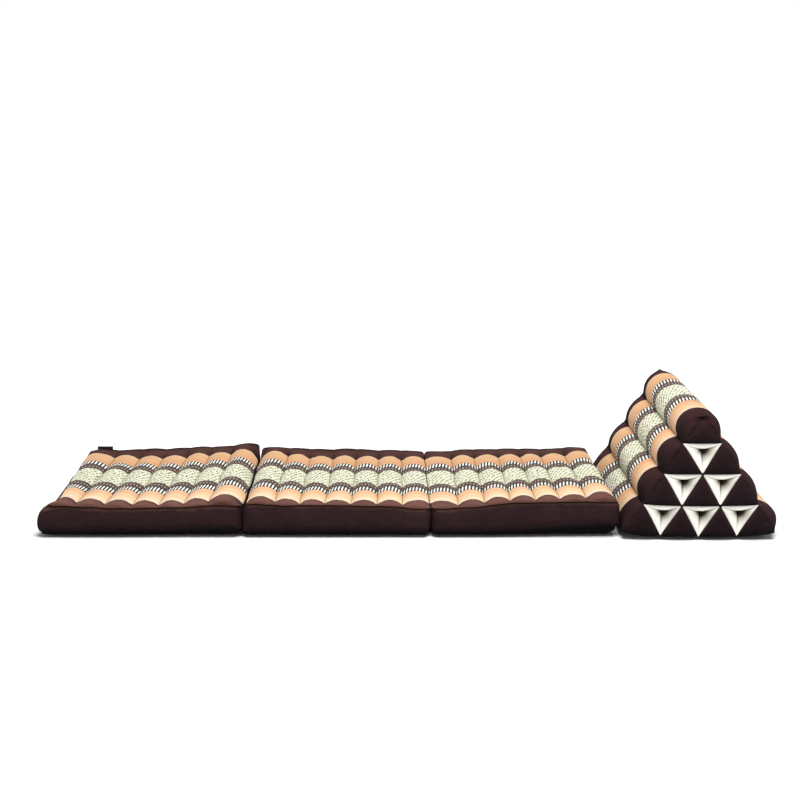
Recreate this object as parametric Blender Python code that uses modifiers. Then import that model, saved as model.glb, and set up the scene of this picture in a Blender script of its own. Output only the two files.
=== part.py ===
"""Fold-out floor mat with a triangle back cushion, in the Thai style.

Three stuffed pads of seven sewn channels lie in a row and end in a triangular bolster of ten tubes.
Six triangular pockets of natural cotton are tucked into each end of the bolster.
Seam strips join the pads and the bolster, and a blank cloth tab is sewn into the first pad's back seam.

Metres, +Z up. +X runs along the mat towards the bolster, and +Y across it.
The origin is on the floor under the centre of the whole.
"""

from collections import namedtuple
from math import cos, sin, sqrt

import bmesh
import bpy
from mathutils import Vector

MM = 0.001
CLEARANCE = 0.4 * MM

# The mat: three pads, measured along X, with the heights of their seams and crests
MAT_WIDTH = 0.530
LOWER_SEAM_HEIGHT = 0.008
LOWER_ROUNDING = 0.035
BORDER_BULGE = 0.008
CORNER_SOFTNESS = 0.35
CHANNEL_DROP = 0.0105
MIDDLE_CROWN = 0.002
EDGE_RUN = 0.045
SOLE_GROOVE = 0.004
FACES_PER_CHANNEL = 6
ACROSS_STATIONS = (-0.95, -0.84, -0.5, 0.0, 0.5, 0.84, 0.95)
WALL_STATIONS = (-0.5, 0.1, 0.65)

# One row for each sewn channel: its width along X, then heights in millimetres from near side to far side
Channel = namedtuple("Channel", "width near_seam near_crest far_crest far_seam")
# The ends of a pad: where its top and bottom edges lie in X, how far the wall bulges, the height of the top edge
End = namedtuple("End", "top_x bottom_x bulge height")
Pad = namedtuple("Pad", "left right lift channels")

PADS = {
    "pad_foot": Pad(
        left=End(-0.8380, -0.8400, 0.0120, 0.069),
        right=End(-0.3830, -0.3818, 0.0000, 0.064),
        lift=0.006,
        channels=(
            Channel(71.5, 76, 79, 82, 77),
            Channel(65.6, 72, 77, 78, 78),
            Channel(62.3, 70, 75, 78, 80),
            Channel(60.8, 70, 72, 79, 81),
            Channel(60.8, 72, 72, 85, 85),
            Channel(58.8, 75, 76, 88, 87),
            Channel(75.1, 77, 86, 97, 94),
        ),
    ),
    "pad_middle": Pad(
        left=End(-0.3778, -0.3796, 0.0000, 0.064),
        right=End(0.0544, 0.0520, 0.0000, 0.0645),
        lift=0.0,
        channels=(
            Channel(68.4, 80, 83, 90, 84),
            Channel(58.0, 77, 77, 81, 82),
            Channel(60.4, 77, 75, 76, 79),
            Channel(60.3, 76, 75, 78, 80),
            Channel(60.4, 76, 75, 76, 77),
            Channel(59.4, 75, 74, 76, 76),
            Channel(65.8, 69, 72, 75, 74),
        ),
    ),
    "pad_head": Pad(
        left=End(0.0566, 0.0590, 0.0000, 0.0645),
        right=End(0.4895, 0.4880, 0.0030, 0.080),
        lift=0.015,
        channels=(
            Channel(66.0, 69, 71, 75, 73),
            Channel(61.2, 74, 75, 79, 78),
            Channel(62.2, 79, 81, 79, 79),
            Channel(57.7, 84, 86, 80, 80),
            Channel(57.2, 84, 88, 82, 81),
            Channel(62.4, 86, 89, 83, 80),
            Channel(69.4, 85, 94, 88, 83),
        ),
    ),
}

# The bolster: four rows of triangular tubes, lying a little askew behind the pads
BOLSTER_CENTRE_X = 0.6765
BOLSTER_SKEW = 0.0055
BOLSTER_END_Y = 0.281
ROWS = 4
CELL_WIDTH = 0.0880
SLOPE_LEAN = 0.0730
CROWN_RADIUS = 0.0505
CROWN_BASE_RADIUS = 0.0462
CROWN_CENTRE_DROP = 0.0480
CROWN_HALF_ARC = 1.879
CROWN_TILT = 0.0020
END_ROUNDING = 0.050
SOLE_ROUNDING = 0.060
CELL_DOME = 0.006
TOP_CELL_DOME = 0.010
FACES_PER_CELL = 6
BOLSTER_STATIONS = (0.020, 0.10, 0.26, 0.60)

# Each lattice row from the apex to the base: its height, and how far the near end's sewing pulls it in X
Row = namedtuple("Row", "height pull")
LATTICE = (
    Row(0.2952, 0.0),
    Row(0.2297, -0.0012),
    Row(0.1570, 0.0030),
    Row(0.0819, 0.0030),
    Row(0.0084, 0.0),
)

# On the slope above the pads and on the back one: how far the tubes stand out, and how the rows rise outwards
Side = namedtuple("Side", "bulges rise")
SIDES = {
    -1: Side(bulges=(0.0, 0.020, 0.020, 0.011), rise=0.0035),
    1: Side(bulges=(0.0, 0.019, 0.019, 0.024), rise=0.0022),
}

# The pockets: triangles of cotton tucked into the end faces between the upright tubes
POCKET_DEPTH = 0.040
POCKET_CURVE = 1.5
POCKET_INSET = 0.035
POCKET_GAP = 0.0012
COTTON_THICKNESS = 0.0012

# The seam strips that join the pads, with the place of each one's middle
STRIP_THICKNESS = 0.0010
STRIP_LENGTH = 0.505
Strip = namedtuple("Strip", "near_x far_x low high")
STRIPS = {
    "hinge_foot": Strip(-0.3807, -0.3807, 0.004, 0.016),
    "hinge_middle": Strip(0.0555, 0.0555, 0.050, 0.0635),
    "hinge_head": Strip(0.4930, 0.4960, 0.018, 0.032),
}

# The blank tab, sewn into the back seam near the foot
TAB_X = -0.7980
TAB_WIDTH = 0.041
TAB_HEIGHT = 0.011
TAB_THICKNESS = 0.0016

# Brings the middle of the whole to X = 0
CENTRING = -0.0055


def clear_scene():
    """Empties the scene."""
    for thing in list(bpy.data.objects):
        bpy.data.objects.remove(thing, do_unlink=True)


def cloth(name, colour, roughness):
    """A plain cloth material of one colour."""
    material = bpy.data.materials.new(name)
    material.use_nodes = True
    shader = material.node_tree.nodes["Principled BSDF"]
    shader.inputs["Base Color"].default_value = (*colour, 1.0)
    shader.inputs["Roughness"].default_value = roughness
    shader.inputs["Metallic"].default_value = 0.0
    return material


def finish_object(name, mesh_builder, material, collection, smooth=True):
    """Turns a bmesh into a named object of the collection, with its faces pointing out."""
    bmesh.ops.recalc_face_normals(mesh_builder, faces=mesh_builder.faces)
    if mesh_builder.calc_volume(signed=True) < 0:
        bmesh.ops.reverse_faces(mesh_builder, faces=mesh_builder.faces)
    mesh = bpy.data.meshes.new(name)
    mesh_builder.to_mesh(mesh)
    mesh_builder.free()
    mesh.materials.append(material)
    if smooth:
        mesh.shade_smooth()
    thing = bpy.data.objects.new(name, mesh)
    collection.objects.link(thing)
    return thing


def arch(share, power=2.3):
    """0 at both ends of a channel and 1 in its middle: the round back of a stuffed tube."""
    return 1.0 - abs(2.0 * share - 1.0) ** power


def quarter_round(distance, reach):
    """0 at an edge and 1 beyond the reach, along a quarter of an ellipse."""
    share = min(1.0, distance / reach)
    return sqrt(1.0 - (1.0 - share) ** 2)


def smooth_step(share):
    """0 to 1 with level ends."""
    share = min(1.0, max(0.0, share))
    return share * share * (3.0 - 2.0 * share)


def mix(first, second, share):
    """The value that lies a share of the way from first to second."""
    return first + (second - first) * share


def along_channels(pad, column, place):
    """Reads a column of the channel table at a place counted in channels, in metres, joining the middles smoothly."""
    values = [getattr(channel, column) * MM for channel in pad.channels]
    position = min(max(place - 0.5, 0.0), len(values) - 1.0)
    index = min(int(position), len(values) - 2)
    return mix(values[index], values[index + 1], smooth_step(position - index))


def channel_height(pad, place, far_share):
    """Height of the top of the pad away from its seams: one arch for each channel."""
    count = len(pad.channels)
    index = min(int(place), count - 1)
    crests = [mix(c.near_crest, c.far_crest, far_share) * MM for c in pad.channels]
    valleys = [pad.left.height]
    valleys += [0.5 * (a + b) - CHANNEL_DROP for a, b in zip(crests, crests[1:])]
    valleys += [pad.right.height]
    share = place - index
    valley = mix(valleys[index], valleys[index + 1], share)
    crest = crests[index] + MIDDLE_CROWN * arch(far_share)
    return valley + (crest - 0.5 * (valleys[index] + valleys[index + 1])) * arch(share)


def pad_point(pad, place, across, up):
    """Carries a point of the plain box to the stuffed pad.

    place counts channels from the left end, across runs from -1 at the near side to 1 at the far side,
    and up runs from -1 on the sole to 1 on the top.
    """
    count = len(pad.channels)
    along = place / count
    far_share = 0.5 + 0.5 * across
    widths = [channel.width for channel in pad.channels]
    whole = int(min(place, count - 1))
    run = (sum(widths[:whole]) + (place - whole) * widths[whole]) / sum(widths)
    left = mix(pad.left.bottom_x, pad.left.top_x, 0.5 + 0.5 * up)
    right = mix(pad.right.bottom_x, pad.right.top_x, 0.5 + 0.5 * up)
    x = mix(left, right, run)
    y = 0.5 * MAT_WIDTH * across

    # The four walls swell between the upper and the lower seam
    swell = 1.0 - up * up
    corner = 1.0 - CORNER_SOFTNESS * abs(across) ** 10
    if place == 0:
        x -= pad.left.bulge * swell * corner
    elif place == count:
        x += pad.right.bulge * swell * corner
    if abs(across) == 1:
        y += across * BORDER_BULGE * swell * (1.0 - CORNER_SOFTNESS * abs(2.0 * along - 1.0) ** 10)

    edge_distance = 0.5 * MAT_WIDTH * (1.0 - abs(across))
    end_distance = min(x - left, right - x) if 0 < place < count else 0.0
    lift = pad.lift * smooth_step((along - 0.25) / 0.75)
    rounding = max(0.0, 1.0 - min(edge_distance, end_distance) / LOWER_ROUNDING) ** 2
    sole = lift + LOWER_SEAM_HEIGHT * rounding
    if place == int(place):
        sole = max(sole, lift + SOLE_GROOVE)

    near_seam = along_channels(pad, "near_seam", place)
    far_seam = along_channels(pad, "far_seam", place)
    seam = mix(near_seam, far_seam, far_share)
    inner = channel_height(pad, place, far_share)
    top = mix(seam, inner, smooth_step(edge_distance / EDGE_RUN))
    return Vector((x, y, mix(sole, top, 0.5 + 0.5 * up)))


def stationed_box(count):
    """A box of count channels by 2 by 2, cut through by planes at the stations of the three axes."""
    box = bmesh.new()
    bmesh.ops.create_cube(box, size=2.0)
    bmesh.ops.translate(box, verts=box.verts, vec=(1.0, 0.0, 0.0))
    bmesh.ops.scale(box, verts=box.verts, vec=(0.5 * count, 1.0, 1.0))
    faces_along = count * FACES_PER_CHANNEL
    cuts = [((k / FACES_PER_CHANNEL, 0, 0), (1, 0, 0)) for k in range(1, faces_along)]
    cuts += [((0, station, 0), (0, 1, 0)) for station in ACROSS_STATIONS]
    cuts += [((0, 0, station), (0, 0, 1)) for station in WALL_STATIONS]
    for point, normal in cuts:
        everything = box.verts[:] + box.edges[:] + box.faces[:]
        bmesh.ops.bisect_plane(box, geom=everything, plane_co=point, plane_no=normal)
    return box


def build_pad(name, pad, material, collection):
    """One stuffed pad: the stationed box with every point carried by pad_point."""
    count = len(pad.channels)
    box = stationed_box(count)
    for vertex in box.verts:
        place = round(vertex.co.x * FACES_PER_CHANNEL) / FACES_PER_CHANNEL
        across = round(vertex.co.y, 4)
        up = round(vertex.co.z, 4)
        vertex.co = pad_point(pad, place, across, up)
    return finish_object(name, box, material, collection)


def lattice_prism():
    """A three-sided prism along Z whose end triangles are cut into a lattice, and its walls into strips."""
    prism = bmesh.new()
    bmesh.ops.create_cone(prism, cap_ends=True, segments=3, radius1=1.0, radius2=1.0, depth=2.0)
    corners = sorted({(round(v.co.x, 6), round(v.co.y, 6)) for v in prism.verts})
    end_edges = [e for e in prism.edges if abs(e.verts[0].co.z - e.verts[1].co.z) < 1e-6]
    cuts = ROWS * FACES_PER_CELL - 1
    bmesh.ops.subdivide_edges(prism, edges=end_edges, cuts=cuts, use_grid_fill=True)
    stations = [sign * (1.0 - s) for s in BOLSTER_STATIONS for sign in (-1, 1)] + [0.0]
    for station in stations:
        everything = prism.verts[:] + prism.edges[:] + prism.faces[:]
        bmesh.ops.bisect_plane(prism, geom=everything, plane_co=(0, 0, station), plane_no=(0, 0, 1))
    return prism, corners


def corner_weights(point, corners):
    """The three weights that give a point as a mixture of a triangle's corners."""
    (ax, ay), (bx, by), (cx, cy) = corners
    area = (bx - ax) * (cy - ay) - (cx - ax) * (by - ay)
    second = ((point.x - ax) * (cy - ay) - (cx - ax) * (point.y - ay)) / area
    third = ((bx - ax) * (point.y - ay) - (point.x - ax) * (by - ay)) / area
    return 1.0 - second - third, second, third


def lattice_row(row):
    """Height and pull of a place on the end lattice, on straight lines from row to row."""
    index = min(int(row + 1e-6), ROWS - 1)
    upper, lower = LATTICE[index], LATTICE[index + 1]
    share = row - index
    return mix(upper.height, lower.height, share), mix(upper.pull, lower.pull, share)


def cell_at(row, offset):
    """Which cell of the lattice a point of the end face is in, and how near its middle: 0 on its edge, 1 there.

    An upright cell is the end of a tube, and a hanging one between two of them holds a pocket.
    """
    level = min(int(row + 1e-6), ROWS - 1)
    down = row - level
    side = offset + 0.5 * row
    index = min(int(side + 1e-6), level)
    rest = side - index
    if rest <= down + 1e-6:
        return "upright", 3.0 * max(0.0, min(1.0 - down, rest, down - rest))
    return "hanging", 3.0 * max(0.0, min(down, rest - down, 1.0 - rest))


def slope_bulge(row, side):
    """How far a slope stands out from the straight line between the corners, as an (x, z) step.

    side is -1 on the slope above the pads and 1 on the back slope.
    """
    if row < 1.0:
        angle = CROWN_HALF_ARC * row
        radius = mix(CROWN_RADIUS, CROWN_BASE_RADIUS, row ** 4)
        centre_z = LATTICE[0].height - CROWN_CENTRE_DROP
        x = radius * sin(angle) - 0.5 * CELL_WIDTH * row
        return side * x, centre_z + radius * cos(angle) - lattice_row(row)[0]
    level = min(int(row + 1e-6), ROWS - 1)
    height = SIDES[side].bulges[level] * arch(row - level)
    out = Vector((SLOPE_LEAN, 0.5 * CELL_WIDTH)).normalized() * height
    return side * out.x, out.y


def bolster_point(row, offset, depth):
    """Carries a point of the lattice prism to the stuffed bolster.

    row runs from 0 at the apex to 4 at the base, offset counts cells from the middle,
    and depth runs from -1 at the near end face to 1 at the far one.
    """
    height, pull = lattice_row(row)
    side = -1 if offset < 0 else 1
    x = BOLSTER_CENTRE_X + BOLSTER_SKEW * depth + offset * CELL_WIDTH + pull * 0.5 * (1.0 - depth)
    y = depth * BOLSTER_END_Y
    z = height + SIDES[side].rise * (offset * row / ROWS) ** 2 + CROWN_TILT * depth * max(0.0, 1.0 - row)
    fade = quarter_round(BOLSTER_END_Y * (1.0 - abs(depth)), END_ROUNDING)
    on_slope = abs(abs(offset) - 0.5 * row) < 1e-4
    if on_slope and row < ROWS:
        step_x, step_z = slope_bulge(row, side)
        x += step_x * fade
        z += step_z * fade
    elif abs(row - ROWS) < 1e-4:
        sole_fade = quarter_round((0.5 * ROWS - abs(offset)) * CELL_WIDTH, SOLE_ROUNDING)
        groove = SOLE_GROOVE if abs(offset - round(offset)) < 1e-4 else 0.0
        z = mix(z, groove, fade * sole_fade)
    if abs(depth) == 1:
        kind, middle = cell_at(row, offset)
        if kind == "upright":
            y += depth * (TOP_CELL_DOME if row < 1.0 else CELL_DOME) * middle ** 0.7
        else:
            y -= depth * POCKET_DEPTH * middle ** POCKET_CURVE
    return Vector((x, y, z))


def build_bolster(material, collection):
    """The triangular bolster: ten tubes in four rows, domed at their ends, with six hollows for the pockets."""
    prism, corners = lattice_prism()
    # Sorted by x, the corners are the left one of the base, the apex and the right one of the base
    steps = ROWS * FACES_PER_CELL
    for vertex in prism.verts:
        left, apex, right = corner_weights(vertex.co, corners)
        row = round((1.0 - apex) * steps) / FACES_PER_CELL
        offset = round((right - left) * steps) * 0.5 / FACES_PER_CELL
        depth = round(vertex.co.z, 5)
        vertex.co = bolster_point(row, offset, depth)
    return finish_object("bolster", prism, material, collection)


def hanging_cells():
    """The top-left, top-right and lower corners of each hanging cell, as (row, offset)."""
    cells = []
    for level in range(1, ROWS):
        for index in range(level):
            left = (level, index - 0.5 * level)
            right = (level, index + 1 - 0.5 * level)
            tip = (level + 1, index + 1 - 0.5 * (level + 1))
            cells.append((left, right, tip))
    return cells


def build_pocket(name, cell, end, material, collection):
    """One tucked pocket: a triangle of cotton pressed in at its middle, thickened outwards.

    end is -1 at the near end face and 1 at the far one.
    """
    points = [bolster_point(row, offset, end * 0.999) for row, offset in cell]
    middle = sum(points, Vector()) / 3.0
    points = [mix(point, middle, POCKET_INSET) for point in points]
    patch = bmesh.new()
    bmesh.ops.create_circle(patch, cap_ends=True, segments=3, radius=1.0)
    corners = sorted({(round(v.co.x, 6), round(v.co.y, 6)) for v in patch.verts})
    bmesh.ops.subdivide_edges(patch, edges=patch.edges[:], cuts=FACES_PER_CELL - 1, use_grid_fill=True)
    for vertex in patch.verts:
        weights = corner_weights(vertex.co, corners)
        depth = POCKET_DEPTH * (3.0 * max(0.0, min(weights))) ** POCKET_CURVE
        flat = sum((point * weight for point, weight in zip(points, weights)), Vector())
        vertex.co = Vector((flat.x, end * (BOLSTER_END_Y + POCKET_GAP - depth), flat.z))
    bmesh.ops.recalc_face_normals(patch, faces=patch.faces)
    if patch.faces[0].normal.y * end < 0:
        bmesh.ops.reverse_faces(patch, faces=patch.faces)
    mesh = bpy.data.meshes.new(name)
    patch.to_mesh(mesh)
    patch.free()
    mesh.materials.append(material)
    mesh.shade_smooth()
    thing = bpy.data.objects.new(name, mesh)
    collection.objects.link(thing)
    shell = thing.modifiers.new("cotton", "SOLIDIFY")
    shell.thickness = COTTON_THICKNESS
    shell.offset = 1.0
    shell.use_even_offset = True
    return thing


def build_block(name, size, centre, material, collection):
    """A thin flat piece of cloth: a cube brought to its real size."""
    block = bmesh.new()
    bmesh.ops.create_cube(block, size=1.0)
    bmesh.ops.scale(block, verts=block.verts, vec=size)
    thing = finish_object(name, block, material, collection, smooth=False)
    thing.location = centre
    return thing


def build_strip(name, strip, material, collection):
    """A seam strip, standing on edge in the gap between two neighbours."""
    size = (STRIP_THICKNESS, STRIP_LENGTH, strip.high - strip.low)
    centre = (0.5 * (strip.near_x + strip.far_x), 0.0, 0.5 * (strip.low + strip.high))
    thing = build_block(name, size, centre, material, collection)
    for vertex in thing.data.vertices:
        vertex.co.x += (strip.far_x - strip.near_x) * vertex.co.y / STRIP_LENGTH
    return thing


def build_tab(material, collection):
    """The blank tab, standing on the back seam of the foot pad."""
    foot = PADS["pad_foot"]
    seam = max(pad_point(foot, place, 1, 1).z for place in (0.2, 0.4, 0.6, 0.8, 1.0))
    size = (TAB_WIDTH, TAB_THICKNESS, TAB_HEIGHT)
    centre = (TAB_X, 0.5 * MAT_WIDTH, seam + CLEARANCE + 0.5 * TAB_HEIGHT)
    return build_block("tab", size, centre, material, collection)


def main():
    clear_scene()
    collection = bpy.data.collections.new("triangle_cushion_mat")
    bpy.context.scene.collection.children.link(collection)
    striped = cloth("striped_cotton", (0.72, 0.50, 0.30), 0.85)
    brown = cloth("brown_cotton", (0.035, 0.018, 0.016), 0.85)
    natural = cloth("natural_cotton", (0.80, 0.77, 0.69), 0.85)
    satin = cloth("black_satin", (0.02, 0.02, 0.022), 0.5)

    for name, pad in PADS.items():
        build_pad(name, pad, striped, collection)
    build_bolster(striped, collection)
    for end, place in ((-1, "near"), (1, "far")):
        for number, cell in enumerate(hanging_cells(), start=1):
            build_pocket(f"pocket_{place}_{number}", cell, end, natural, collection)
    for name, strip in STRIPS.items():
        build_strip(name, strip, brown, collection)
    build_tab(satin, collection)
    for thing in collection.objects:
        thing.location.x += CENTRING


main()
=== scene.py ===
# %% [markdown]
# # A fold-out mat with a triangle cushion
#
# The real thing is sewn from cotton and stuffed with kapok: three pads of seven tubes each, and a
# bolster of ten triangular tubes stacked in four rows. Striped cloth covers the tops, dark brown cotton
# makes the borders, and white cotton pockets are tucked into the ends of the bolster.
#
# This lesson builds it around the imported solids. Every surface is worked out with numpy, and the stripes
# are a pattern that follows the cloth through its own UV map, measured in metres.

# %% The frame and its box
from collections import namedtuple
from math import pi, radians

import bmesh
import bpy
import numpy as np
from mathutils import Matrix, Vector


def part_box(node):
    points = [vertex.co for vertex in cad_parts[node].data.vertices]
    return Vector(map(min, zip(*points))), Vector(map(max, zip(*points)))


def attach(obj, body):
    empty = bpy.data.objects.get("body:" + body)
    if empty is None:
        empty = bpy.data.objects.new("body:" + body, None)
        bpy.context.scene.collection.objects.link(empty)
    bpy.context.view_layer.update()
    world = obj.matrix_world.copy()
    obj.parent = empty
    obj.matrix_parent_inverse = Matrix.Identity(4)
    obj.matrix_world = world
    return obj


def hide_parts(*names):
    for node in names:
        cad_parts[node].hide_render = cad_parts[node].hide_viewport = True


MM = 0.001
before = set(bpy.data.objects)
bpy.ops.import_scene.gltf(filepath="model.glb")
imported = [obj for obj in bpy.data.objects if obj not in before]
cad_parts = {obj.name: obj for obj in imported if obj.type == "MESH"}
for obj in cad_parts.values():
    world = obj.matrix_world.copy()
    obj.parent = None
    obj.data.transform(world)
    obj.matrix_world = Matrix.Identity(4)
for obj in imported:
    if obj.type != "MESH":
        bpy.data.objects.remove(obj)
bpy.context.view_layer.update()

# %% [markdown]
# ## Small tools
#
# A stuffed shape is easiest to build as a few patches: each patch is a grid of points with its own UV
# map. The patches are welded along their shared edges into one closed skin. That keeps every formula
# short, because it only has to describe a surface as a function of two numbers.

# %% Number helpers
def mix(first, second, share):
    """The value that lies a share of the way from first to second."""
    return first + (second - first) * share


def smooth_step(share):
    """0 to 1 with level ends: three times the square less two times the cube."""
    share = np.clip(share, 0.0, 1.0)
    return share * share * (3.0 - 2.0 * share)


def quarter_round(share):
    """0 to 1 along a quarter of a circle: upright at 0 and level at 1."""
    share = np.clip(share, 0.0, 1.0)
    return np.sqrt(1.0 - (1.0 - share) ** 2)


def arch(share, power=2.3):
    """0 at both ends and 1 in the middle: one less the power of the distance from the middle."""
    return 1.0 - np.abs(2.0 * share - 1.0) ** power


def ridge(distance, width):
    """1 at no distance and 0 far away: a bell curve that is down to about a third at this width."""
    return np.exp(-((distance / width) ** 2))


def wander(points, wavelength, seed, waves=7):
    """Soft unevenness of about -1 to 1: a sum of sine waves of about one length, in random directions."""
    rng = np.random.default_rng(seed)
    total = np.zeros(points.shape[:-1])
    for _ in range(waves):
        direction = rng.normal(size=points.shape[-1])
        direction *= 2.0 * pi / (wavelength * rng.uniform(0.7, 1.5) * np.linalg.norm(direction))
        total += np.sin(points @ direction + rng.uniform(0.0, 2.0 * pi))
    return total / np.sqrt(waves)


def from_whole(number):
    """How far a number is from the nearest whole one."""
    return np.abs(number - np.round(number))


def run_length(points):
    """How far along a line of points each one lies: the sum of the steps before it."""
    return np.concatenate([[0.0], np.cumsum(np.linalg.norm(np.diff(points, axis=0), axis=-1))])


# %% Patches and skins
WELD_DISTANCE = 0.02 * MM
Patch = namedtuple("Patch", "points faces uv slot fold")


def new_object(name, data):
    """An object in the scene that shows this mesh, light or camera."""
    thing = bpy.data.objects.new(name, data)
    bpy.context.scene.collection.objects.link(thing)
    return thing


def grid_faces(rows, columns):
    """The four-sided faces of a grid of points numbered row by row."""
    index = np.arange(rows * columns).reshape(rows, columns)
    corners = [index[:-1, :-1], index[1:, :-1], index[1:, 1:], index[:-1, 1:]]
    return np.stack(corners, axis=-1).reshape(-1, 4)


def triangle_faces(steps):
    """The faces of a triangular grid with this many steps a side, numbered row by row from the apex."""
    row, place = np.tril_indices(steps)
    upper = row * (row + 1) // 2 + place
    lower = upper + row + 1
    pointing_up = np.stack([upper, lower, lower + 1], axis=-1)
    pointing_down = np.stack([upper, lower + 1, upper + 1], axis=-1)[place < row]
    return np.concatenate([pointing_up, pointing_down])


def grid_patch(points, uv, slot, fold=0.0):
    """A patch from grid points, with painted crease shade: 1 where the cloth is sewn down, 0 where free."""
    rows, columns = points.shape[:2]
    fold = np.broadcast_to(fold, (rows, columns)).ravel()
    return Patch(points.reshape(-1, 3), grid_faces(rows, columns), uv.reshape(-1, 2), slot, fold)


def bordered(points, uv, fold, lines):
    """Three patches side by side: the striped middle in slot 0 and its two brown borders in slot 1."""
    first, last = lines
    parts = ((slice(0, first + 1), 1), (slice(first, last + 1), 0), (slice(last, None), 1))
    return [grid_patch(points[:, part], uv[:, part], slot, fold[:, part]) for part, slot in parts]


def stations(edge, steps, lines, gap):
    """Places from -1 to 1: those given at the edges, even steps between them, and the two border lines."""
    middle = np.linspace(-edge[-1], edge[-1], steps)[1:-1]
    middle = middle[np.abs(middle[:, None] - lines).min(axis=1) > gap]
    places = np.sort(np.concatenate([-edge, middle, lines, edge]))
    return places, np.searchsorted(places, lines)


def sewn(name, patches, materials, outside=None):
    """Welds patches into one piece with smooth shading, UV map, painted crease shade and a material per
    patch.

    A closed skin is turned to face outwards by itself. An open one needs to know which way its outside is.
    """
    starts = np.cumsum([0] + [len(patch.points) for patch in patches])
    faces = [face for patch, start in zip(patches, starts) for face in (patch.faces + start).tolist()]
    mesh = bpy.data.meshes.new(name)
    mesh.from_pydata(np.concatenate([patch.points for patch in patches]).tolist(), [], faces)
    corners = np.empty(len(mesh.loops), dtype=np.int32)
    mesh.loops.foreach_get("vertex_index", corners)
    uv = np.concatenate([patch.uv for patch in patches])
    mesh.uv_layers.new(name="cloth").data.foreach_set("uv", uv[corners].ravel().astype(np.float32))
    fold = np.concatenate([patch.fold for patch in patches]).astype(np.float32)
    mesh.attributes.new("fold", "FLOAT", "POINT").data.foreach_set("value", fold)
    slots = np.concatenate([np.full(len(patch.faces), patch.slot, dtype=np.int32) for patch in patches])
    mesh.polygons.foreach_set("material_index", slots)
    skin = bmesh.new()
    skin.from_mesh(mesh)
    bmesh.ops.remove_doubles(skin, verts=skin.verts, dist=WELD_DISTANCE)
    bmesh.ops.recalc_face_normals(skin, faces=skin.faces)
    if outside and sum(face.normal.dot(outside) * face.calc_area() for face in skin.faces) < 0:
        bmesh.ops.reverse_faces(skin, faces=skin.faces)
    skin.to_mesh(mesh)
    skin.free()
    for material in materials:
        mesh.materials.append(material)
    mesh.shade_smooth()
    print(name, len(mesh.vertices), "points", len(mesh.polygons), "faces")
    return new_object(name, mesh)


def thicken(piece, thickness, offset=-1.0):
    """Gives an open sheet its thickness: inwards at an offset of -1, and to both sides at 0."""
    shell = piece.modifiers.new("cloth", "SOLIDIFY")
    shell.thickness = thickness
    shell.offset = offset


def stand_for(piece, node):
    """Puts a piece in the place of its CAD node, on the one body, and hides the node."""
    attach(piece, "root")
    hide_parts(node)


# %% [markdown]
# ### Stuffing by cloth simulation
#
# The formulas give each cushion its size. A short cloth simulation then gives it the lay of real cloth:
# the skin is stiff cotton with the push of the kapok inside it, and it is held along its stitching and
# on the floor.

# %% Stuffing
SIM_FRAMES = 12
SIM_REACH = 3.5 * MM
SIM_FLOOR = 12.0 * MM
# Stiff, light cotton that may ease by a fiftieth under the push of the kapok
SIM_CLOTH = {
    "quality": 3,
    "mass": 0.01,
    "shrink_min": -0.02,
    "tension_stiffness": 12.0,
    "compression_stiffness": 12.0,
    "bending_stiffness": 0.3,
    "use_pressure": True,
    "uniform_pressure_force": 300.0,
}


def places_of(mesh):
    """Where the points of a mesh are, as rows of x, y and z."""
    places = np.empty(3 * len(mesh.vertices))
    mesh.vertices.foreach_get("co", places)
    return places.reshape(-1, 3)


def stuff(piece):
    """Runs the cloth under pressure and moves the mesh to the result.

    A move is cut back smoothly to less than SIM_REACH: it is multiplied by the reach, over the reach and
    the length of the move together.
    """
    mesh = piece.data
    before = places_of(mesh)
    fold = np.empty(len(mesh.vertices))
    mesh.attributes["fold"].data.foreach_get("value", fold)
    # The painted crease shade is over a half along the seams and on the sole, so it also marks the held
    # cloth
    held = (fold > 0.5) | (before[:, 2] < SIM_FLOOR)
    group = piece.vertex_groups.new(name="sewn")
    group.add(np.flatnonzero(held).tolist(), 1.0, "REPLACE")

    cloth = piece.modifiers.new("stuffing", "CLOTH")
    for name, value in SIM_CLOTH.items():
        setattr(cloth.settings, name, value)
    cloth.settings.vertex_group_mass = group.name
    cloth.settings.effector_weights.gravity = 0.0
    cloth.collision_settings.use_collision = False
    scene = bpy.context.scene
    for moment in range(1, SIM_FRAMES + 1):
        scene.frame_set(moment)
    move = places_of(piece.evaluated_get(bpy.context.evaluated_depsgraph_get()).data) - before
    length = np.linalg.norm(move, axis=1, keepdims=True)
    kept = move * SIM_REACH / (SIM_REACH + length)
    piece.modifiers.remove(cloth)
    piece.vertex_groups.remove(group)
    scene.frame_set(1)
    mesh.vertices.foreach_set("co", (before + kept).ravel())
    mesh.update()
    half, most = (np.percentile(length[~held], share) / MM for share in (50, 99))
    print(f"{piece.name}: half the free points move under {half:.1f} mm, and 99 % under {most:.1f} mm")


# %% [markdown]
# ## Materials
#
# Everything is plain-woven cotton apart from the satin tab. Cotton is matte, with a faint sheen from its
# loose fibres where light grazes it. The stripes are woven in, so their pattern sits in the cloth's own
# coordinates: u runs along the mat and v across it, both in metres, and every width below is a real one.

# %% Colours and the node helper
MATH = "ShaderNodeMath"
RANGE = "ShaderNodeMapRange"
NOISE = "ShaderNodeTexNoise"
SPLIT = "ShaderNodeSeparateXYZ"
JOIN = "ShaderNodeCombineXYZ"
STRETCH = "ShaderNodeMapping"
MIX = "ShaderNodeMix"
# Most of a noise texture lies between these two values
NOISE_LOW, NOISE_HIGH = 0.3, 0.7
# Settings of a colour mix that blends two colours, and of one that multiplies them
BLEND = {"data_type": "RGBA", "out": 2}
TINT = {**BLEND, "blend_type": "MULTIPLY"}
ALL = slice(None)


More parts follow.
